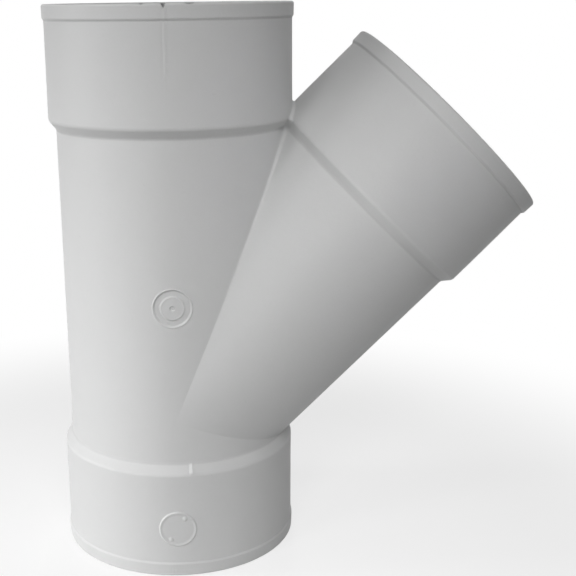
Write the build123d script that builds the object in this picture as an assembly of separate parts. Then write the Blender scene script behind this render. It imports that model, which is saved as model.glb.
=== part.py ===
from build123d import *
import os
from math import atan, cos, hypot, radians, sin, sqrt, tan

# A 45 degree wye for 100 mm drainage pipe, injection moulded in one piece of rigid PVC. Three plain
# glue sockets of one size sit on a body of three equal pipes. Millimetres. The origin is the centre of
# the lower mouth, +Z runs up the straight run, and the branch leans towards +X.

# The pipe that every socket takes
pipe_d = 100.0  # outside diameter of the pipe
cement_gap = 0.1  # room for solvent cement all round the pipe
insertion = 47.0  # how far a pipe goes in before it meets the stop ledge
ledge = 3.1  # how far the stop ledge stands in from the socket's wall
lead_in = 1.2  # length of the chamfer that guides the pipe in
lead_depth = 0.8  # how far that chamfer opens the mouth

# Walls, each measured outwards from the bore that it surrounds
body_wall = 3.0
root_wall = 3.2  # the socket beside its shoulder
neck_wall = 2.85  # the socket just behind its lip
lip_wall = 3.7  # the lip at its thickest
rim_wall = 3.4  # the lip at the mouth

# Lengths along a socket, from its mouth
lip_len = 5.0  # from the mouth to the lip's back edge
lip_back = 2.3  # length of the slope behind the lip
root_past_ledge = 1.0  # the shoulder starts this far past the stop ledge
shoulder_len = 4.0  # length of the slope from socket to body

# The junction
branch_angle = 45.0
crotch_lap = 0.5  # the two upper shoulders start this far before the bodies part
heel_lap = 1.45  # the lower shoulder reaches this far past the branch's heel

# Roundings of the mould
rim_round = 1.0
lip_round = 0.9
neck_round = 1.2
root_round = 1.6
foot_round = 1.2
valley_ball = 1.5  # radius of the ball that rounds the valley between run and branch
body_dip = 0.03  # how far that ball dips into the bodies' walls
socket_dip = 0.1  # and into the sockets' walls, which taper
valley_from = 8.0  # the valley is rounded from this far in front of the run's axis

# Sunk round mark of the mould's insert, on the front of the body
stamp_height = 121.8  # its centre, above the lower mouth
stamp_r = 8.1
stamp_depth = 0.45
island_r = 4.9
island_rise = 0.35  # the island's height above the sunk floor
gate_r = 1.1  # the dimple in the island
gate_depth = 0.25

# Raised round mark with two pips, on the front of the lower socket
disc_height = 22.6  # its centre, above the lower mouth
disc_r = 8.1
disc_rise = 0.3
pip_r = 1.1
pip_rise = 0.5
pip_across = 3.1  # each pip's distance from the disc's centre, sideways
pip_up = 4.9  # and along the run

# Derived sizes
socket_bore_r = pipe_d / 2 + cement_gap
body_bore_r = socket_bore_r - ledge
body_r = body_bore_r + body_wall
root_r = socket_bore_r + root_wall
neck_r = socket_bore_r + neck_wall
lip_r = socket_bore_r + lip_wall
rim_r = socket_bore_r + rim_wall
neck_at = lip_len + lip_back
root_at = insertion + root_past_ledge
socket_len = root_at + shoulder_len
half = radians(branch_angle) / 2
cross = socket_len - heel_lap + body_r * tan(half)
arm = socket_len - crotch_lap + body_r / tan(half)
height = cross + arm


def socket_wall_r(from_mouth):
    """Outer radius of a socket's gently tapered wall, at a distance from its mouth."""
    return neck_r + (root_r - neck_r) * (from_mouth - neck_at) / (root_at - neck_at)


def socket_outside(mouth):
    """Corners of a socket's outside, from body to mouth, as radius, place on the axis, rounding."""
    return [
        (body_r, mouth - socket_len, foot_round),
        (root_r, mouth - root_at, root_round),
        (neck_r, mouth - neck_at, neck_round),
        (lip_r, mouth - lip_len, lip_round),
        (rim_r, mouth, rim_round),
    ]


def socket_hollow(mouth):
    """Corners of a socket's hollow, from body to mouth, in the same form."""
    return [
        (body_bore_r, mouth - insertion, 0),
        (socket_bore_r, mouth - insertion, 0),
        (socket_bore_r, mouth - lead_in, 0),
        (socket_bore_r + lead_depth, mouth, 0),
    ]


def turned(corners):
    """The solid of revolution round Z inside a line of corners, closed to the axis at both ends."""
    line = [(radius, place) for radius, place, _ in corners]
    face = make_face(Polyline((0, line[0][1]), *line, (0, line[-1][1]), close=True))
    for radius, place, rounding in corners:
        if rounding > 0:
            corner = face.vertices().sort_by_distance(Vector(radius, place, 0))[0]
            face = fillet(corner, rounding)
    return revolve(Plane.XZ * face, Axis.Z)


def on_branch(shape):
    """Moves a shape made along Z from the origin onto the branch, from where the axes cross."""
    return Pos(0, 0, cross) * Rot(0, branch_angle, 0) * shape


def pipes(socket, start_r):
    """Run and branch in one, turned from the corners of one socket."""
    lower = [(radius, -place, rounding) for radius, place, rounding in reversed(socket(0))]
    run = turned(lower + socket(height))
    branch = turned([(start_r, 0, 0)] + socket(arm))
    return run + on_branch(branch)


def valley_web(wall_r, dip):
    """Fills the valley between two equal pipes that meet at the branch's angle.

    A ball that rolls along the valley hollows the web out. Its centre follows an ellipse in the plane
    that halves the angle, and it dips a little into both walls, so that the web ends on them.
    """
    reach = wall_r + valley_ball - dip
    middle = Plane((0, 0, cross), x_dir=(sin(half), 0, cos(half)), z_dir=(cos(half), 0, -sin(half)))
    touch = (wall_r + (valley_ball - dip) * cos(half) ** 2) / sin(half)
    block = extrude(middle * Ellipse(touch, wall_r), amount=body_r, both=True)
    side = hypot(reach, reach / tan(half))
    near_run = atan(tan(half) * wall_r / reach)
    near_branch = 2 * half - near_run
    edges = [(side * sin(lean), side * cos(lean)) for lean in (near_run, near_branch)]
    wedge = Plane.XZ * make_face(Polyline((0, 0), *edges, close=True))
    wedge = Pos(0, 0, cross) * extrude(wedge, amount=wall_r, both=True)
    path = middle * Edge.make_ellipse(reach / sin(half), reach, start_angle=-88, end_angle=88)
    rolled = sweep(Plane(path @ 0, z_dir=path % 0) * Circle(valley_ball), path=path)
    return (block & wedge) - rolled


def along_socket(mouth):
    """A wide plug that covers a socket from the middle of its shoulder to its mouth."""
    reach = root_at + shoulder_len / 2
    plug = Cylinder(2 * lip_r, reach, align=(Align.CENTER, Align.CENTER, Align.MIN))
    return Pos(0, 0, mouth - reach) * plug


def front_plug(radius, place):
    """A round plug that looks out of the run's front, at a height above the lower mouth."""
    plug = Cylinder(radius, body_r, align=(Align.CENTER, Align.CENTER, Align.MIN))
    return Pos(0, -body_r / 2, place) * Rot(90, 0, 0) * plug


def skin(inner_r, outer_r, place):
    """A stretch of tube round the run, tall enough to hold a round mark."""
    tall = 4 * stamp_r
    return Pos(0, 0, place) * (Cylinder(outer_r, tall) - Cylinder(inner_r, tall))


def stamp_cut():
    """The hollow of the sunk mark, with its island and the dimple in that."""
    floor_r = body_r - stamp_depth
    top_r = floor_r + island_rise
    hollow = front_plug(stamp_r, stamp_height) & skin(floor_r, body_r + stamp_depth, stamp_height)
    island = front_plug(island_r, stamp_height) & skin(floor_r - ledge / 2, top_r, stamp_height)
    dimple = front_plug(gate_r, stamp_height) & skin(top_r - gate_depth, body_r, stamp_height)
    return hollow - island + dimple


def raised_disc():
    """The raised mark on the lower socket, with its two pips."""
    face_r = socket_wall_r(disc_height) + disc_rise
    disc = front_plug(disc_r, disc_height) & skin(socket_bore_r, face_r, disc_height)
    dome_r = (pip_r**2 + pip_rise**2) / (2 * pip_rise)
    centre_r = face_r + pip_rise - dome_r
    for way in (-1, 1):
        across = way * pip_across
        out = sqrt(centre_r**2 - across**2)
        disc += Pos(across, -out, disc_height + way * pip_up) * Sphere(dome_r)
    return disc


body = pipes(socket_outside, body_r)
crotch_wall_r = socket_wall_r(arm - root_r / tan(half))
front_half = Pos(valley_from, 0, cross) * Box(
    2 * root_r, 3 * root_r, 2 * arm, align=(Align.MIN, Align.CENTER, Align.MIN)
)
body += valley_web(body_r, body_dip) & front_half
body += valley_web(crotch_wall_r, socket_dip) & along_socket(height) & on_branch(along_socket(arm))
body += raised_disc()
body -= stamp_cut()
body -= pipes(socket_hollow, body_bore_r)

os.makedirs("parts", exist_ok=True)
export_step(body, "parts/wye_body.step")
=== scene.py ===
"""A grey pipe wye in its studio: the moulded shell, its plastic, the lamps and the camera."""

from math import cos, pi, radians, sin, tan

import bmesh
import bpy
import numpy as np
from mathutils import Matrix, Vector


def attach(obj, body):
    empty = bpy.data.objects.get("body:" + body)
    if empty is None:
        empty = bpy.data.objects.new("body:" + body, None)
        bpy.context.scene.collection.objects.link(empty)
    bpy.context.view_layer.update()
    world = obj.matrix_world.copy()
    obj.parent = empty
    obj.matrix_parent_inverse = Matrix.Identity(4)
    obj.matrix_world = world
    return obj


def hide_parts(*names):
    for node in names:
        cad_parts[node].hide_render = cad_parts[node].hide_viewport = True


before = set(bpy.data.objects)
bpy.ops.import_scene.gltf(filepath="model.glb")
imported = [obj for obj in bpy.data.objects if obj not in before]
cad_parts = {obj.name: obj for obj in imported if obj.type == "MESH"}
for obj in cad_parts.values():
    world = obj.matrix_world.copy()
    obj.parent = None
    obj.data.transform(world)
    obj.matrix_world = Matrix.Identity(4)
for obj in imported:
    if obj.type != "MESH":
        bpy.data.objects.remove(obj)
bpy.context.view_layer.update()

MM = 0.001
TINY = 1e-9  # keeps a length of zero out of a division
NEAR = 0.001  # in millimetres, as all sizes below: places closer than this are one

# Sizes in millimetres. Along a socket they are measured from its mouth.
BODY_R = 50.0
BORE_R = 47.0  # of the waterway
SOCKET_BORE_R = 50.1
INSERTION = 47.0  # how deep the stop ledge lies
LEAD_IN = 1.2  # length of the chamfer at the mouth
LEAD_DEPTH = 0.8  # how far that chamfer opens the mouth
LIP_LEN = 5.7
NECK_AT = 6.6  # where the steep back of the lip ends
ROOT_AT = 48.0  # where the shoulder starts
ROOT_R = 53.2
SHARED_TO = 36.0  # from the root to here the three sockets are alike
SHARED_R = ROOT_R - 0.1
SOCKET_LEN = 52.0  # where the shoulder ends on the body
HEEL_LAP = 1.45  # the lower shoulder reaches this far past the branch's heel
CROTCH_LAP = 0.5  # the upper shoulders start this far before the bodies part
HALF = radians(22.5)  # half the angle between run and branch
CROSS = SOCKET_LEN - HEEL_LAP + BODY_R * tan(HALF)  # height at which the axes cross
ARM = SOCKET_LEN - CROTCH_LAP + BODY_R / tan(HALF)  # from there to the two upper mouths
TOP = CROSS + ARM

# Each socket's own radii: at the neck, at the lip's back edge and at the rim
UPPER_SOCKET = (52.95, 53.6, 53.68)
BRANCH_SOCKET = (52.6, 53.42, 53.5)
LOWER_SOCKET = (53.15, 53.7, 53.5)

# The two round marks on the front of the run, and half the width of the window that holds one. A
# mark runs from its outside to its middle, as radius, rise above the wall, rounding and steps.
STAMP_AT = 121.8
DISC_AT = 22.6
WINDOW = 11.3
SUNK_MARK = [
    (9.0, 0.0, 0, 0),
    (8.7, 0.0, 0.3, 2),
    (8.25, 0.27, 0.2, 4),
    (7.95, 0.06, 0.25, 3),
    (7.45, -0.5, 0.3, 4),
    (5.5, -0.5, 0.3, 4),
    (4.75, 0.0, 0.3, 4),
    (4.3, -0.12, 0.3, 2),
    (1.15, -0.12, 0.2, 2),
    (0.8, -0.6, 0.2, 2),
    (0.0, -0.6, 0, 0),
]
RAISED_MARK = [
    (9.0, 0.0, 0, 0),
    (8.4, 0.0, 0.3, 3),
    (7.8, 0.5, 0.3, 5),
    (6.8, 0.18, 0.5, 3),
    (4.0, 0.16, 0, 0),
    (0.0, 0.16, 0, 0),
]

# The raised mark's two pips: places from its middle, depth of their foot in the wall, and size
PIP_ACROSS, PIP_UP, PIP_SUNK = 3.1, 4.9, 0.3
PIP_R, PIP_RISE = 1.5, 0.95

# The small mark on the branch's lip: its turn from the front, its distance along the branch from
# where the axes cross, the depth of its foot in the wall, and its size
LIP_MARK_TURN = radians(4.4)
LIP_MARK_AT, LIP_MARK_SUNK = 169.6, 0.12
LIP_MARK_R, LIP_MARK_RISE = 0.85, 0.3

# Radii of the balls that round the two valleys. The upper one grows where the two shoulders meet,
# which is at CROTCH_AT from where the axes cross.
VALLEY_BALL = 1.15
CROTCH_GAIN = 0.7
CROTCH_AT, CROTCH_WIDE = 122.0, 4.0
HEEL_BALL = 0.7
VALLEY_STEPS, HEEL_STEPS = 8, 4  # faces across each

# The search for the lines on which those balls touch the walls: how far and how finely it looks,
# the wall's rough radius, the room left before the shoulder, and the number of halvings
CREASE_REACH, CREASE_SAMPLES = 140.0, 5601
CREASE_R, FOOT_ROOM = 53.0, 0.8
HEEL_ROOM, HEEL_REACH, HEEL_SAMPLES, HALVINGS = 20.0, 40.0, 4001, 60

# Rows of an arm: steps between them, how long a stretch is that gets rows of its own, how far they
# keep from a corner, and the closer rows of a socket and round a mark
ROW_STEP = 4.0
LONG_OUTSIDE, LONG_INSIDE = 2.5, 6.0
INSIDE_SHARES = (0.25, 0.5, 0.75)
MARGIN = 0.25
SOCKET_STOPS = np.array((1.3, 1.7, 2.2, 3.0, 7.9, 8.6, 38.0, 42.0, 45.0, 46.3))
MARK_STOPS = np.arange(-12.75, 13, 1.5)
MARK_ROOM = 14.0

# Columns, as shares of a quarter turn from the front or back to the plane of the two axes. They
# stand closer beside the parting and flow lines (NARROW) and at the lower shoulder's step (TICK).
COLUMNS = 60
NARROW = np.array((0.003, 0.007, 0.011, 0.015))
TICK = 0.084
TICK_AT = np.array((-0.021, -0.018, -0.014, -0.009, -0.004, 0, 0.003, 0.008, 0.015, 0.022, 0.03))
BODY_SHARE = 0.77  # so many end on the valley of the bodies, the others on that of the shoulders

# Columns of the run's far side and beside the two seams of its lower lip, in shares of a half turn
FAR_COLUMNS = 96
SEAM_AT = np.array((0.0115, 0.0133, 0.015, 0.0167, 0.0185))

NO_MARK = -20.0  # stands for the branch's mark: no row is as far back as this
EVEN_LEN = 12.0  # the columns of the lower valley are even again this far before the mouth's rows
LEAST_BEND = 1e-4  # an arc flatter than this is taken as straight
LEAST_AREA = 1e-6  # a face smaller than this counts as this large
MERGE = 2e-4  # corners of two sheets that are closer than this become one
DOME_SPOKES, DOME_RINGS = 20, 6
DOME_FOOT = 0.4  # how far a dome's foot reaches into its wall

# The fine lines of the mould: their rise or depth, where they start and end, and over what length
# they fade. The flow lines have a low ridge between them, and end just below the rim.
LINE_WIDE = 0.25
PARTING_RISE, LIP_CLEAR, PARTING_FADE = 0.07, 5.0, 1.5
FLOW_DEPTH, FLOW_APART, FLOW_FROM, FLOW_FADE, FLOW_END = 0.12, 0.92, 205, 18, 1.3
RIDGE_SHARE, RIDGE_WIDE = 0.5, 0.3
SEAM_RISE, SEAMS_AT, SEAM_FROM, SEAM_TO, SEAM_FADE = 0.09, (3.0, 2.0), 0.6, 6.5, 0.8

# The lower shoulder's step: its rise, its lower and upper end, and its steep and its long side
STEP_RISE, STEP_FROM, STEP_TO, STEP_FADE = 0.42, 47.8, 52.3, 0.8
STEP_STEEP, STEP_LONG = 1.5, 1.8
QUARTER_ARC = 83  # length of a quarter turn there

# The nick in the upper rim, and the two scuffs as place, width, height and depth
NICK_X, NICK_WIDE, NICK_TALL, NICK_DEPTH, NICK_FLANK = -0.3, 1.1, 2.2, 2.6, 1.6
LEAST_WIDE = 1e-3
SCUFFS = ((9.8, 2.0, 0.9, 0.35), (-8.8, 1.8, 1.2, 0.25))
OUTER_FROM = 52  # they lie in the skin outside this radius
CUT_FROM = 0.002  # from this depth on, the skin is shaded by its faces' own directions
DIRT_AND_SHADE_EDGE, DIRT_AND_SHADE_DEPTH = -2.5, 0.2  # the edge value where dirt and painted shade lie darkest, and from what depth on

# The plastic, the height of its grain in metres, and the floor
PVC = {"Red": 0.62, "Green": 0.622, "Blue": 0.621}
GRAIN_DEPTH = 0.00005
WHITE = (1, 1, 1, 1)
FLOOR = 8.0  # half its width in metres
SHADE_FROM, SHADE_TO = 0.16, 0.34  # metres from the part over which its shade fades to white

# The camera's view of the photograph, its place in metres, and the places at which the lamps aim
LENS, SENSOR, SHIFT = 67.81, 36, (0.10935, 0.04773)
EYE = (0.014731, -0.481916, 0.245089)
PITCH, YAW, ROLL = radians(16.326), radians(0.935), radians(0.768)
LOW_SOCKET = (-0.02, -0.04, 0.03)
TOP_SOCKET = (-0.02, -0.04, 0.21)
BRANCH = (0.09, -0.04, 0.13)
FORK = (0.055, -0.03, 0.182)
MIDDLE = (0.04, 0.0, 0.12)

# Up the run, towards the branch's side, away from the front, along the branch and square to it,
# where the axes cross, and the normal of the plane that halves the angle between them
UP = np.array((0.0, 0.0, 1.0))
OVER = np.array((1.0, 0.0, 0.0))
DEEP = np.array((0.0, 1.0, 0.0))
OUT = np.array((sin(2 * HALF), 0.0, cos(2 * HALF)))
ABOVE_BRANCH = np.array((-cos(2 * HALF), 0.0, sin(2 * HALF)))
CENTRE = np.array((0.0, 0.0, CROSS))
MIRROR = np.array((cos(HALF), 0.0, -sin(HALF)))


def bump(distance, width):
    """A smooth hill: 1 in its middle, and next to nothing from twice its width on."""
    return np.exp(-((distance / width) ** 2))


def climb(value, start, over):
    """0 up to a start, then evenly up to 1 over a length, and 1 past that."""
    return np.clip((value - start) / over, 0, 1)


def unit(vectors):
    """The same directions, each one long."""
    return vectors / np.maximum(np.linalg.norm(vectors, axis=1), TINY)[:, None]


def rounded(corners):
    """Points along a line of (radius, place, rounding, steps) corners, in its plane.

    Each has its normal and its edge: up to 1 on an outer edge, down to -1 in a groove.
    """
    points = []
    for index, (radius, place, rounding, steps) in enumerate(corners):
        here = np.array((radius, place))
        if rounding == 0:
            points.append((here, None, 0.0))
            continue
        back = np.array(corners[index - 1][:2]) - here
        ahead = np.array(corners[index + 1][:2]) - here
        back /= np.linalg.norm(back)
        ahead /= np.linalg.norm(ahead)
        spread = np.arccos(np.clip(back @ ahead, -1, 1))
        run = rounding / tan(spread / 2)
        middle = here + (back + ahead) / np.linalg.norm(back + ahead) * rounding / sin(spread / 2)
        start = here + back * run - middle
        end = here + ahead * run - middle
        sweep = np.arctan2(start[0] * end[1] - start[1] * end[0], start @ end)
        facing = np.array((ahead[1] - back[1], back[0] - ahead[0]))
        side = 1 if facing @ (start + end) > 0 else -1
        for step in range(steps + 1):
            lean = sweep * step / steps
            spin = np.array(((cos(lean), -sin(lean)), (sin(lean), cos(lean))))
            arrow = spin @ start
            points.append((middle + arrow, side * arrow / rounding, side * sin(pi * step / steps)))
    for index, (point, normal, edge) in enumerate(points):
        if normal is None:
            along = points[max(index, 1)][0] - points[max(index, 1) - 1][0]
            points[index] = (point, np.array((along[1], -along[0])) / np.linalg.norm(along), edge)
    return points


def outline(length, radii, mark):
    """Rows of one arm, from the middle of the fitting out to the mouth and back inside.

    Each row has its radius, its distance from the middle, its normal and its edge. They stand close
    together round the mark's distance. The second result is the number of rows on the outside.
    """
    neck_r, lip_r, rim_r = radii
    corners = [
        (BODY_R, length, 0, 0),
        (BODY_R, SOCKET_LEN, 2.5, 7),
        (ROOT_R, ROOT_AT, 3.0, 8),
        (SHARED_R, SHARED_TO, 0, 0),
        (neck_r, NECK_AT, 1.1, 6),
        (lip_r, LIP_LEN, 1.0, 6),
        (rim_r, 0.0, 1.0, 8),
        (SOCKET_BORE_R + LEAD_DEPTH, 0.0, 0.3, 3),
        (SOCKET_BORE_R, LEAD_IN, 0.6, 2),
        (SOCKET_BORE_R, INSERTION, 0.4, 4),
        (BORE_R, INSERTION, 0.5, 5),
        (BORE_R, length, 0, 0),
    ]
    points = rounded([(radius, length - depth, *rest) for radius, depth, *rest in corners])
    body_stops = np.arange(ROW_STEP, length - SOCKET_LEN - ROW_STEP / 2, ROW_STEP)
    wall_stops = length - np.arange(3 * ROW_STEP, 9 * ROW_STEP, ROW_STEP)
    stops = np.concatenate((body_stops, wall_stops))
    stops = stops[abs(stops - mark) > MARK_ROOM]
    stops = np.sort(np.concatenate((stops, mark + MARK_STOPS, length - SOCKET_STOPS)))
    rows = []
    outside = 0
    last = points[0][0]
    for point, normal, edge in points:
        along = point - last
        size = np.linalg.norm(along)
        marks = ()
        if size > LONG_OUTSIDE and along[1] > 0:
            marks = [(stop - last[1]) / along[1] for stop in stops]
        elif size > LONG_INSIDE:
            marks = INSIDE_SHARES
        for share in marks:
            if MARGIN < share * size < size - MARGIN:
                rows.append((*(last + along * share), along[1] / size, -along[0] / size, 0.0))
        rows.append((*point, *normal, edge))
        last = point
        if point[1] > length - NEAR and not outside:
            outside = len(rows)
    return np.array(rows), outside


def wall_at(rows, along):
    """Radius and normal of an arm's wall, read from its rows at distances from the middle."""
    return [np.interp(along, rows[:, 1], rows[:, column]) for column in (0, 2, 3)]


def place(direction, side, radius, angle, along, normal_r, normal_s):
    """Points and normals in space from an arm's own radius, angle and distance."""
    radial = np.cos(angle)[..., None] * side + np.sin(angle)[..., None] * DEEP
    points = CENTRE + along[..., None] * direction + radius[..., None] * radial
    normals = normal_r[..., None] * radial + normal_s[..., None] * direction
    return points, normals


class Shell:
    """Collects the sheets of the shell before they are joined into one mesh."""

    def __init__(self):
        self.points = []
        self.normals = []
        self.extras = []
        self.faces = []
        self.count = 0

    def sheet(self, points, normals, skin, edge):
        """Adds a grid of points as a sheet of four-sided faces.

        skin is 1 on the outside and 0 in the bores, and edge is that of the rows.
        """
        grid = points.shape[:2]
        index = np.arange(grid[0] * grid[1]).reshape(grid) + self.count
        faces = np.stack((index[:-1, :-1], index[1:, :-1], index[1:, 1:], index[:-1, 1:]), -1)
        across = np.cross(points[1:, :-1] - points[:-1, :-1], points[:-1, 1:] - points[:-1, :-1])
        if (across * normals[:-1, :-1]).sum() < 0:
            faces = faces[..., ::-1]
        self.points.append(points.reshape(-1, 3))
        self.normals.append(normals.reshape(-1, 3))
        self.faces.append(faces.reshape(-1, 4))
        extras = [np.broadcast_to(values, grid).ravel() for values in (skin, edge)]
        self.extras.append(np.stack(extras, -1))
        self.count += index.size


def valley_ball(along):
    """Radius of the ball that rounds the upper valley: larger where the shoulders meet."""
    return VALLEY_BALL + CROTCH_GAIN * bump(along - CROTCH_AT, CROTCH_WIDE)


def upper_crease(rows):
    """The contact line of the upper valley, as tables of share, distance and angle."""
    fine = np.linspace(0, CREASE_REACH, CREASE_SAMPLES)
    radius, normal_r, normal_s = wall_at(rows, fine)
    ball = valley_ball(fine)
    lean = (fine + ball * normal_s) * tan(HALF) / (radius + ball * normal_r)
    end = np.argmax(lean >= 1)
    fine, lean = fine[: end + 1], np.minimum(lean[: end + 1], 1)
    lean[0] = 0
    angle = np.arccos(lean)
    foot = np.argmax(fine > ARM - SOCKET_LEN - FOOT_ROOM)
    share = (pi / 2 - angle) / (pi / 2 - angle[foot]) * BODY_SHARE
    step = np.hypot(np.diff(fine), CREASE_R * np.diff(angle))
    length = np.concatenate(([0], np.cumsum(step)))
    beyond = (length[foot:] - length[foot]) / (length[-1] - length[foot])
    share[foot:] = BODY_SHARE + (1 - BODY_SHARE) * beyond
    return share, fine, angle


def heel_crease(rows, angles):
    """Where the ball of the lower valley lies and what it touches, for angles on the branch.

    The results are its middle, over, down and deep from where the axes cross, then the distances of
    its contact points along the branch and along the run. Halving finds them.
    """
    rows = rows[rows[:, 1] < CROSS - HEEL_ROOM]
    fine = np.linspace(0, rows[-1, 1], HEEL_SAMPLES)
    radius, normal_r, normal_s = wall_at(rows, fine)
    off_r = radius + HEEL_BALL * normal_r
    off_s = fine + HEEL_BALL * normal_s
    wide = BODY_R + HEEL_BALL
    low = -wide * np.cos(angles)
    high = np.full_like(angles, HEEL_REACH)
    for _ in range(HALVINGS):
        mid = (low + high) / 2
        over = (mid + wide * np.cos(angles)) * sin(2 * HALF)
        down = (wide * np.cos(angles) - mid) * cos(2 * HALF)
        deep = wide * np.sin(angles)
        outer = np.hypot(over, deep) > np.interp(down, off_s, off_r)
        high = np.where(outer, mid, high)
        low = np.where(outer, low, mid)
    return over, down, deep, mid, np.interp(down, off_s, fine)


def bend(first, last, steps):
    """Directions on the arc between two rows of unit vectors."""
    gap = np.arccos(np.clip((first * last).sum(-1), -1, 1))[:, None, None]
    share = np.linspace(0, 1, steps + 1)[None, :, None]
    safe = np.maximum(gap, TINY)
    arc = np.sin((1 - share) * safe) * first[:, None] + np.sin(share * safe) * last[:, None]
    straight = first[:, None] * (1 - share) + last[:, None] * share
    return np.where(gap > LEAST_BEND, arc / np.sin(safe), straight)


shares = np.concatenate((np.linspace(0, 1, COLUMNS + 1), NARROW, 1 - NARROW, TICK + TICK_AT))
shares = np.unique(shares.round(6))
quarter = pi / 2 * (1 - shares)  # the angle of each column from the plane of the two axes
shell = Shell()
upper_arm = outline(ARM, UPPER_SOCKET, STAMP_AT - CROSS)
branch_arm = outline(ARM, BRANCH_SOCKET, NO_MARK)
lower_arm = outline(CROSS, LOWER_SOCKET, CROSS - DISC_AT)
upper_wall, lower_wall = (rows[:outside] for rows, outside in (upper_arm, lower_arm))
crease = upper_crease(upper_wall)
heel_over, heel_down, heel_deep, heel_out, heel_at = heel_crease(lower_wall, quarter)
heel_turn = np.arctan2(heel_deep, heel_over)


def half_arm(arm, direction, side, way, angles, start_out, start_in):
    """One half of an arm as a sheet. Rows short of the crease fold onto it.

    angles holds the angle of every row of the arm, for one column of the shell after the other.
    The starts are where each column begins, outside and in the bore.
    """
    rows, outside = arm
    inner = np.arange(len(rows)) >= outside
    start = np.where(inner, start_in[:, None], start_out[:, None])
    along = np.maximum(rows[:, 1], start)
    radius, normal_r, normal_s = (
        np.broadcast_to(rows[:, column], angles.shape).copy() for column in (0, 2, 3)
    )
    short = (rows[:, 1] < start) & ~inner
    radius[short], normal_r[short], normal_s[short] = wall_at(rows[:outside], along[short])
    points, normals = place(direction, side, radius, way * angles, along, normal_r, normal_s)
    shell.sheet(points, normals, 1.0 - inner, np.where(short, 0, rows[:, 4]))


def upper_half(arm, direction, side, way):
    """The half of the upper arm or of the branch that ends on the upper valley."""
    rows, outside = arm
    share, fine, angle = crease
    start = np.interp(shares, share, fine)
    reach = np.interp(rows[:, 1], fine, share)
    limit = np.interp(rows[:, 1], fine, angle)
    reach[outside:] = 1
    limit[outside:] = 0
    portion = np.minimum(shares[:, None] / np.maximum(reach, TINY), 1)
    angles = pi / 2 - (pi / 2 - limit) * portion
    end = np.interp(shares, share, angle)
    folded = (rows[:, 1] < start[:, None]) & (np.arange(len(rows)) < outside)
    angles = np.where(folded, end[:, None], angles)
    half_arm(arm, direction, side, way, angles, start, BORE_R * np.cos(quarter) / tan(HALF))


def lower_half(arm, direction, side, way, start, begin):
    """The half of the lower arm or of the branch that ends on the lower valley.

    Its columns leave the valley at the angles in begin, and are even again near the mouth.
    """
    rows, outside = arm
    even_from = rows[outside - 1, 1] - EVEN_LEN
    blend = climb(rows[:, 1], start[:, None], even_from - start[:, None])
    blend[:, outside:] = 1
    angles = begin[:, None] * (1 - blend) + quarter[:, None] * blend
    half_arm(arm, direction, side, way, angles, start, BORE_R * np.cos(quarter) * tan(HALF))


def upper_valley(way):
    """The strip that a ball leaves as it rolls between two mirrored contact lines."""
    share, fine, angle = crease
    along = np.interp(shares, share, fine)
    turn = way * np.interp(shares, share, angle)
    radius, normal_r, normal_s = wall_at(upper_wall, along)
    touch, lift = place(UP, OVER, radius, turn, along, normal_r, normal_s)
    middle = touch + valley_ball(along)[:, None] * lift
    middle -= ((middle - CENTRE) @ MIRROR)[:, None] * MIRROR
    first = unit(touch - middle)
    last = first - 2 * (first @ MIRROR)[:, None] * MIRROR
    arrows = bend(first, last, VALLEY_STEPS)
    size = np.linalg.norm(touch - middle, axis=1)[:, None, None]
    shell.sheet(middle[:, None] + size * arrows, -arrows, 1.0, 0.0)


def heel_valley(way):
    """The strip that a ball leaves at the heel of the branch."""
    middle = CENTRE + heel_over[:, None] * OVER - heel_down[:, None] * UP
    middle += way * heel_deep[:, None] * DEEP
    radius, normal_r, normal_s = wall_at(lower_wall, heel_at)
    touch, _ = place(-UP, OVER, radius, way * heel_turn, heel_at, normal_r, normal_s)
    wide = np.full_like(quarter, BODY_R)
    ends, _ = place(OUT, -ABOVE_BRANCH, wide, way * quarter, heel_out, wide, wide)
    arrows = bend((touch - middle) / HEEL_BALL, (ends - middle) / HEEL_BALL, HEEL_STEPS)
    shell.sheet(middle[:, None] + HEEL_BALL * arrows, -arrows, 1.0, 0.0)


for way in (1, -1):
    upper_half(upper_arm, UP, OVER, way)
    upper_half(branch_arm, OUT, ABOVE_BRANCH, way)
    lower_half(lower_arm, -UP, OVER, way, heel_at, heel_turn)
    lower_half(branch_arm, OUT, -ABOVE_BRANCH, way, heel_out, quarter)
    upper_valley(way)
    heel_valley(way)

# The far side of the run, which no valley reaches
thin = NARROW / 2
turns = (np.linspace(0, 1, FAR_COLUMNS + 1), thin, 1 - thin, 0.5 - thin, 0.5 + thin, 1 - SEAM_AT)
turns = pi / 2 + pi * np.unique(np.concatenate(turns))
none = np.zeros_like(turns)
for arm, direction in ((upper_arm, UP), (lower_arm, -UP)):
    angles = np.broadcast_to(turns[:, None], (len(turns), len(arm[0])))
    half_arm(arm, direction, OVER, 1, angles, none, none)


def corners_of(mesh):
    """The vertex at each corner of the mesh's faces."""
    corner = np.zeros(len(mesh.loops), dtype=np.int32)
    mesh.loops.foreach_get("vertex_index", corner)
    return corner


mesh = bpy.data.meshes.new("wye_shell")
mesh.from_pydata(np.concatenate(shell.points).tolist(), [], np.concatenate(shell.faces).tolist())
normals = np.concatenate(shell.normals)[corners_of(mesh)]
facing = mesh.attributes.new("facing", "FLOAT_VECTOR", "CORNER")
facing.data.foreach_set("vector", normals.astype(np.float32).ravel())
extras = np.concatenate(shell.extras)
for column, name in enumerate(("skin", "edge")):
    kept = mesh.attributes.new(name, "FLOAT", "POINT")
    kept.data.foreach_set("value", extras[:, column].astype(np.float32))
work = bmesh.new()
work.from_mesh(mesh)
bmesh.ops.remove_doubles(work, verts=work.verts, dist=MERGE)
loose = [edge for edge in work.edges if not edge.link_faces]
bmesh.ops.delete(work, geom=loose, context="EDGES")


def after(ring):
    """The ring's vertices, each one place further on."""
    return ring[1:] + ring[:1]


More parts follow.
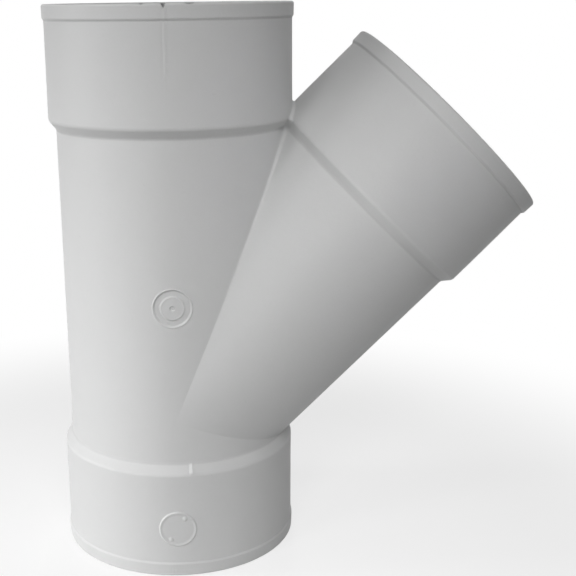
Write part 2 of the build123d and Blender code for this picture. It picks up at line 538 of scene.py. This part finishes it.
def round_mark(height, base_r, corners):
    """Cuts a window in the front of the run and fills it with a round mark.

    base_r gives the wall's radius at a height, and corners are those of SUNK_MARK or RAISED_MARK.
    """
    facing = work.loops.layers.float_vector["facing"]
    skin = work.verts.layers.float["skin"]
    edge_of = work.verts.layers.float["edge"]

    def flat(vertex):
        """A vertex's place on the wall, as if the wall were flat, from the mark's middle."""
        x, y, z = vertex.co
        return base_r(height) * np.arctan2(x, -y), z - height

    def inside(vertex):
        """Whether a vertex lies in the window."""
        across, up = flat(vertex)
        return vertex[skin] > 0.5 and abs(across) < WINDOW and abs(up) < WINDOW

    gone = [face for face in work.faces if all(inside(vertex) for vertex in face.verts)]
    bmesh.ops.delete(work, geom=gone, context="FACES")
    rim = {vertex for edge in work.edges if len(edge.link_faces) == 1 for vertex in edge.verts}
    rim = sorted(rim, key=lambda vertex: np.arctan2(*reversed(flat(vertex))))
    around = np.array([flat(vertex) for vertex in rim])
    spokes = unit(around)
    rings = [rim]
    normal_of = {}
    for vertex, (across, _) in zip(rim, around):
        angle = across / base_r(height)
        normal_of[vertex] = np.array((sin(angle), -cos(angle), 0))

    def vertex_at(spot, rise, lean, out, edge):
        """A new vertex over a spot of the window. Its normal leans outwards from the middle."""
        across, up = spot
        wall = base_r(height + up)
        angle = across / base_r(height)
        radial = np.array((sin(angle), -cos(angle), 0))
        sideways = np.array((cos(angle), sin(angle), 0))
        spoke = np.array(spot) / max(np.linalg.norm(spot), TINY)
        vertex = work.verts.new(radial * (wall + rise) + UP * (height + up))
        vertex[skin] = 1
        vertex[edge_of] = edge
        normal_of[vertex] = radial * out + (sideways * spoke[0] + UP * spoke[1]) * lean
        return vertex

    line = rounded(corners)
    widest = line[0][0][0]
    halfway = (around + spokes * widest) / 2
    rings.append([vertex_at(spot, 0.0, 0.0, 1.0, 0.0) for spot in halfway])
    for (radius, rise), (lean, out), edge in line[:-1]:
        rings.append([vertex_at(spoke * radius, rise, lean, out, edge) for spoke in spokes])
    middle = vertex_at((0.0, 0.0), line[-1][0][1], 0.0, 1.0, 0.0)
    made = []
    for outer, inner in zip(rings, rings[1:]):
        made += zip(outer, after(outer), after(inner), inner)
    made += [(*pair, middle) for pair in zip(rings[-1], after(rings[-1]))]
    for vertices in made:
        for loop in work.faces.new(vertices).loops:
            loop[facing] = Vector(normal_of[loop.vert])


def socket_r(height):
    """Outer radius of the lower socket at a height above its mouth."""
    return float(wall_at(lower_wall, CROSS - height)[0])


def dome(base, out, base_r, rise):
    """A small closed dome on a wall at a point, with its top in the direction out."""
    facing = work.loops.layers.float_vector["facing"]
    skin = work.verts.layers.float["skin"]
    side = np.cross(out, UP)
    side /= np.linalg.norm(side)
    over = np.cross(out, side)
    ball = (base_r**2 + rise**2) / (2 * rise)
    leans = [np.arcsin(base_r / ball) * step / DOME_RINGS for step in range(1, DOME_RINGS + 1)]
    line = [(ball * sin(lean), rise - ball + ball * cos(lean)) for lean in leans]
    line.append((base_r, -DOME_FOOT))
    turns = [2 * pi * step / DOME_SPOKES for step in range(DOME_SPOKES)]
    spokes = [cos(turn) * side + sin(turn) * over for turn in turns]
    rings = []
    for radius, up in line:
        rings.append([work.verts.new(base + radius * spoke + up * out) for spoke in spokes])
    tip, root = work.verts.new(base + rise * out), work.verts.new(base - DOME_FOOT * out)
    made = []
    for here in range(DOME_SPOKES):
        there = (here + 1) % DOME_SPOKES
        made.append(work.faces.new((tip, rings[0][here], rings[0][there])))
        made.append(work.faces.new((root, rings[-1][there], rings[-1][here])))
        for upper, lower in zip(rings, rings[1:]):
            made.append(work.faces.new((upper[here], lower[here], lower[there], upper[there])))
    centre = Vector(base + (rise - ball) * out)
    for face in made:
        for loop in face.loops:
            loop.vert[skin] = 1
            away = (loop.vert.co - centre).normalized()
            loop[facing] = Vector(-out) if loop.vert is root else away


round_mark(STAMP_AT, lambda height: BODY_R, SUNK_MARK)
round_mark(DISC_AT, socket_r, RAISED_MARK)
for way in (1, -1):
    across, height = way * PIP_ACROSS, DISC_AT + way * PIP_UP
    wall = socket_r(height) - PIP_SUNK
    out = np.array((across, -np.sqrt(wall**2 - across**2), 0)) / wall
    dome(out * wall + UP * height, out, PIP_R, PIP_RISE)
out = -cos(LIP_MARK_TURN) * DEEP - sin(LIP_MARK_TURN) * ABOVE_BRANCH
wall = BRANCH_SOCKET[1] - LIP_MARK_SUNK
dome(CENTRE + LIP_MARK_AT * OUT + wall * out, out, LIP_MARK_R, LIP_MARK_RISE)
work.to_mesh(mesh)
work.free()


def read(layer, kind, wide):
    """A layer of the mesh as an array."""
    values = np.zeros(len(mesh.attributes[layer].data) * wide, dtype=np.float32)
    mesh.attributes[layer].data.foreach_get(kind, values)
    return values.reshape(-1, wide).astype(float)


def relief(points):
    """Height of the mould's fine lines over the skin, at each vertex."""
    x, y, z = points.T
    front = y < 0

    # The parting line, all round in the plane of the two axes, flush at the three lips
    from_rim = np.minimum(np.minimum(z, TOP - z), ARM - (points - CENTRE) @ OUT)
    rise = PARTING_RISE * bump(y, LINE_WIDE) * climb(from_rim, LIP_CLEAR, PARTING_FADE)

    # Two faint flow lines below the nick in the front of the upper rim
    flow = bump(x + FLOW_APART, LINE_WIDE) + bump(x - FLOW_APART, LINE_WIDE)
    flow -= RIDGE_SHARE * bump(x, RIDGE_WIDE)
    tall = climb(z, FLOW_FROM, FLOW_FADE)
    rise -= FLOW_DEPTH * front * flow * tall * climb(TOP - FLOW_END - z, 0, 1)

    # Two short seams on the lower lip
    seams = sum(bump(x + apart, LINE_WIDE) for apart in SEAMS_AT)
    rise += SEAM_RISE * front * seams * climb(SEAM_TO - z, 0, SEAM_FADE) * (z > SEAM_FROM)

    # A small step across the lower shoulder, steep at its left
    past = (np.arctan2(x, -y) / (pi / 2) - TICK) * QUARTER_ARC
    band = climb(z, STEP_FROM, STEP_FADE) * climb(STEP_TO - z, 0, STEP_FADE)
    steep, long = 1 - climb(-past, 0, STEP_STEEP), np.exp(-np.maximum(past, 0) / STEP_LONG)
    return rise + STEP_RISE * front * band * np.where(past < 0, steep, long)


def slope(points, height):
    """The slope over the skin of a small height at each vertex, as a vector at each vertex."""
    mesh.calc_loop_triangles()
    corners = np.zeros(3 * len(mesh.loop_triangles), dtype=np.int32)
    mesh.loop_triangles.foreach_get("vertices", corners)
    a, b, c = corners.reshape(-1, 3).T
    first, last = points[b] - points[a], points[c] - points[a]
    across = np.cross(first, last)
    twice = np.linalg.norm(across, axis=1)[:, None]
    lean = (height[b] - height[a])[:, None] * np.cross(last, across)
    lean += (height[c] - height[a])[:, None] * np.cross(across, first)
    lean /= np.maximum(twice, LEAST_AREA) ** 2
    total, weight = np.zeros_like(points), np.full(len(points), TINY)
    for ends in (a, b, c):
        np.add.at(total, ends, lean * twice)
        np.add.at(weight, ends, twice[:, 0])
    return total / weight[:, None]


def damage(points):
    """Depth of the nick in the front of the upper rim, and of the two scuffs beside it."""
    x, y, z = points.T
    below = TOP - z
    wide = NICK_WIDE * (1 - climb(below, 0, NICK_TALL))
    flank = NICK_FLANK * np.abs(x - NICK_X) / np.maximum(wide, LEAST_WIDE)
    depth = NICK_DEPTH * np.clip(NICK_FLANK - flank, 0, 1) * (wide > 0)
    for across, width, tall, deep in SCUFFS:
        depth += deep * bump(x - across, width) * (1 - climb(below, 0, tall))
    return depth * (y < 0) * (np.hypot(x, y) > OUTER_FROM)


facing = unit(read("facing", "vector", 3))
skin = read("skin", "value", 1)[:, 0]
edge = read("edge", "value", 1)[:, 0]
points = read("position", "vector", 3)
corner = corners_of(mesh)
lift = np.zeros_like(points)
np.add.at(lift, corner, facing)
rise = relief(points) * skin
facing -= slope(points, rise)[corner]
points += rise[:, None] * unit(lift)
depth = damage(points) * skin

# Dirt and painted shade sit in the nick and the scuffs, which the material reads as an edge below a
# groove's -1 and paints much darker
edge -= (edge - DIRT_AND_SHADE_EDGE) * climb(depth, 0, DIRT_AND_SHADE_DEPTH)
mesh.attributes["edge"].data.foreach_set("value", edge.astype(np.float32))
points[:, :2] -= (depth / np.hypot(*points[:, :2].T))[:, None] * points[:, :2]
mesh.vertices.foreach_set("co", (points * MM).ravel())
mesh.update()
cut = (depth > CUT_FROM)[corner]
blunt = np.zeros(points.size, dtype=np.float32)
mesh.vertex_normals.foreach_get("vector", blunt)
facing[cut] = blunt.reshape(-1, 3)[corner[cut]]
mesh.shade_smooth()
mesh.normals_split_custom_set(unit(facing).tolist())
mesh.attributes.remove(mesh.attributes["facing"])


def new_object(name, data):
    """A new object in the scene."""
    made = bpy.data.objects.new(name, data)
    bpy.context.scene.collection.objects.link(made)
    return made


wye = new_object("wye_shell", mesh)
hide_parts("wye_body")
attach(wye, "root")


class Value:
    """The value of a socket, on which plain arithmetic adds Math nodes."""

    def __init__(self, net, socket):
        self.net = net
        self.socket = socket

    def __add__(self, other):
        return self.net.maths("ADD", self, other)

    __radd__ = __add__

    def __sub__(self, other):
        return self.net.maths("SUBTRACT", self, other)

    def __rsub__(self, other):
        return self.net.maths("SUBTRACT", other, self)

    def __mul__(self, other):
        return self.net.maths("MULTIPLY", self, other)

    __rmul__ = __mul__


class Net:
    """The node tree of a material or of the world."""

    def __init__(self, owner):
        owner.use_nodes = True
        self.nodes = owner.node_tree.nodes
        self.links = owner.node_tree.links
        self.nodes.clear()

    def node(self, kind, settings=None, sockets=None, out=0):
        """Any node: its settings first, then the values or links of its sockets."""
        made = self.nodes.new(kind)
        for name, value in (settings or {}).items():
            setattr(made, name, value)
        for name, value in (sockets or {}).items():
            if isinstance(value, Value):
                self.links.new(value.socket, made.inputs[name])
            else:
                made.inputs[name].default_value = value
        return Value(self, made.outputs[out]) if made.outputs else None

    def maths(self, operation, first, second):
        """One sum of two numbers or values."""
        return self.node("ShaderNodeMath", {"operation": operation}, {0: first, 1: second})

    def mix(self, share, first, second):
        """A colour between two colours."""
        return self.node("ShaderNodeMix", {"data_type": "RGBA"}, {0: share, 6: first, 7: second}, 2)

    def above(self, value, low, high, least=0.0, most=1.0):
        """The least below one limit, the most above the other, and softly from one to the other."""
        settings = {"interpolation_type": "SMOOTHSTEP"}
        limits = {"From Min": low, "From Max": high, "To Min": least, "To Max": most}
        return self.node("ShaderNodeMapRange", settings, {"Value": value, **limits})

    def seen_plainly(self):
        """One for rays from the camera, a reflection or through glass, and zero for others."""
        share = self.node("ShaderNodeLightPath", out="Is Camera Ray")
        share += self.node("ShaderNodeLightPath", out="Is Glossy Ray")
        share += self.node("ShaderNodeLightPath", out="Is Transmission Ray")
        return share

    def finish(self, kind, surface):
        """Links a shader to the tree's output."""
        self.node(kind, None, {"Surface": surface})


plastic = bpy.data.materials.new("moulded_pvc")
pvc = Net(plastic)
spot = pvc.node("ShaderNodeTexCoord", out="Object")
on_skin = pvc.node("ShaderNodeAttribute", {"attribute_name": "skin"}, out="Fac")
on_edge = pvc.node("ShaderNodeAttribute", {"attribute_name": "edge"}, out="Fac")


def noise(scale, detail, roughness=0.5):
    """Noise around zero, of so many lumps to the metre."""
    sockets = {"Vector": spot, "Scale": scale, "Detail": detail, "Roughness": roughness}
    return pvc.node("ShaderNodeTexNoise", None, sockets, "Fac") - 0.5


# Clouds of some centimetres, patches of some millimetres, the moulded grain, pits and dark specks
cloud = noise(22.0, 3.0)
patch = noise(160.0, 3.0, 0.6)
grain = noise(1500.0, 2.0, 0.6)
pits = noise(520.0, 2.0)
speck = pvc.above(noise(620.0, 1.0), 0.24, 0.3)

# Wear on outer edges; grime and painted shade in grooves; dirt and painted shade in the nick and
# the scuffs
worn = pvc.above(on_edge + patch * 0.9, 0.35, 0.95) * on_skin
# Grooves and concave roundings are painted darker: partly grime, partly painted shade where shade
# falls in them
grime_and_painted_shade = pvc.above(patch * 0.6 - on_edge, 0.3, 0.9)
# The nick and the scuffs are painted much darker: dirt, and painted shade in the deep nick
dirt_and_painted_shade = pvc.above(0 - on_edge, 1.2, 2.2)
tone = 1 + cloud * 0.035 + patch * 0.02 + grain * 0.035 - speck * 0.03
tone = tone + worn * 0.03 - grime_and_painted_shade * 0.06 - dirt_and_painted_shade * 0.45
colour = pvc.node("ShaderNodeCombineColor", None, {name: tone * part for name, part in PVC.items()})
dullness = 0.48 + cloud * 0.08 + patch * 0.1 + grain * 0.08
dullness = dullness - worn * 0.07 + grime_and_painted_shade * 0.12 - (1 - on_skin) * 0.06
skin_height = grain + patch * 1.5 + pits * 1.2
bumps = {"Strength": 0.6, "Distance": GRAIN_DEPTH, "Height": skin_height}
sockets = {
    "Base Color": colour,
    "Roughness": dullness,
    "Specular IOR Level": 0.12,
    "Normal": pvc.node("ShaderNodeBump", None, bumps),
}
pvc.finish("ShaderNodeOutputMaterial", pvc.node("ShaderNodeBsdfPrincipled", None, sockets))
mesh.materials.append(plastic)

# The floor, which fades to plain white away from the part
floor_mesh = bpy.data.meshes.new("floor")
ends = ((-FLOOR, -FLOOR, 0), (FLOOR, -FLOOR, 0), (FLOOR, FLOOR, 0), (-FLOOR, FLOOR, 0))
floor_mesh.from_pydata(ends, [], [(0, 1, 2, 3)])
floor = new_object("floor", floor_mesh)
white = bpy.data.materials.new("floor_white")
net = Net(white)
seen = net.seen_plainly()
paint = net.mix(seen, (0.75, 0.75, 0.75, 1), (0.9, 0.9, 0.9, 1))
lit = net.node("ShaderNodeBsdfDiffuse", None, {"Color": paint})
bright = net.node("ShaderNodeEmission", None, {"Color": WHITE, "Strength": 1.0})
on_floor = net.node("ShaderNodeTexCoord", out="Object")
far = net.node("ShaderNodeVectorMath", {"operation": "LENGTH"}, {0: on_floor}, "Value")
plain = net.above(far, SHADE_FROM, SHADE_TO, least=0.7)
both = net.node("ShaderNodeMixShader", None, {0: seen * plain, 1: lit, 2: bright})
net.finish("ShaderNodeOutputMaterial", both)
floor_mesh.materials.append(white)

world = bpy.data.worlds.new("world")
bpy.context.scene.world = world
net = Net(world)
sky = net.mix(net.seen_plainly(), (0.04, 0.04, 0.04, 1), WHITE)
backdrop = net.node("ShaderNodeBackground", None, {"Color": sky, "Strength": 1.0})
net.finish("ShaderNodeOutputWorld", backdrop)

camera = new_object("camera", bpy.data.cameras.new("camera"))
bpy.context.scene.camera = camera
camera.data.sensor_width = SENSOR
camera.data.lens = LENS
camera.data.shift_x, camera.data.shift_y = SHIFT
camera.data.clip_start = 0.01
forward = Vector((sin(YAW) * cos(PITCH), cos(YAW) * cos(PITCH), -sin(PITCH)))
right = Vector((cos(YAW), -sin(YAW), 0))
low = forward.cross(right)
across = cos(ROLL) * right + sin(ROLL) * low
upward = sin(ROLL) * right - cos(ROLL) * low
turn = Matrix((across, upward, -forward)).transposed().to_4x4()
camera.matrix_world = Matrix.Translation(EYE) @ turn


def lamp(name, turned, height, aim, power, size=0.22, spread=45, mirrored=True):
    """A soft square lamp, at so many degrees round from the front and above the floor.

    It stands a metre from its aim, and shows in reflections if mirrored.
    """
    light = new_object(name, bpy.data.lights.new(name, "AREA"))
    light.data.shape = "SQUARE"
    light.data.size = size
    light.data.energy = power
    light.data.spread = radians(spread)
    light.visible_camera = False
    light.visible_glossy = mirrored
    round_by, up_by = radians(turned), radians(height)
    away = Vector((sin(round_by) * cos(up_by), -cos(round_by) * cos(up_by), sin(up_by)))
    light.location = Vector(aim) + away
    light.rotation_euler = away.to_track_quat("Z", "Y").to_euler()


lamp("front_left", -15, 30, LOW_SOCKET, 0.146)
lamp("front_high", 15, 50, LOW_SOCKET, 0.098)
lamp("front_branch", 0, 30, BRANCH, 0.105)
lamp("left_high", -45, 50, LOW_SOCKET, 0.106)
lamp("left_front", -75, 12, LOW_SOCKET, 0.125)
lamp("left_side", -90, 12, LOW_SOCKET, 0.264)
lamp("left_upper", -90, 30, LOW_SOCKET, 0.08)
lamp("right", 50, 30, TOP_SOCKET, 0.034)
lamp("fork", 40, 10, FORK, 0.0035, size=0.06, spread=12)
lamp("back", 178, 10, MIDDLE, 0.35, size=0.3, spread=50, mirrored=False)
bpy.context.scene.view_settings.view_transform = "Standard"
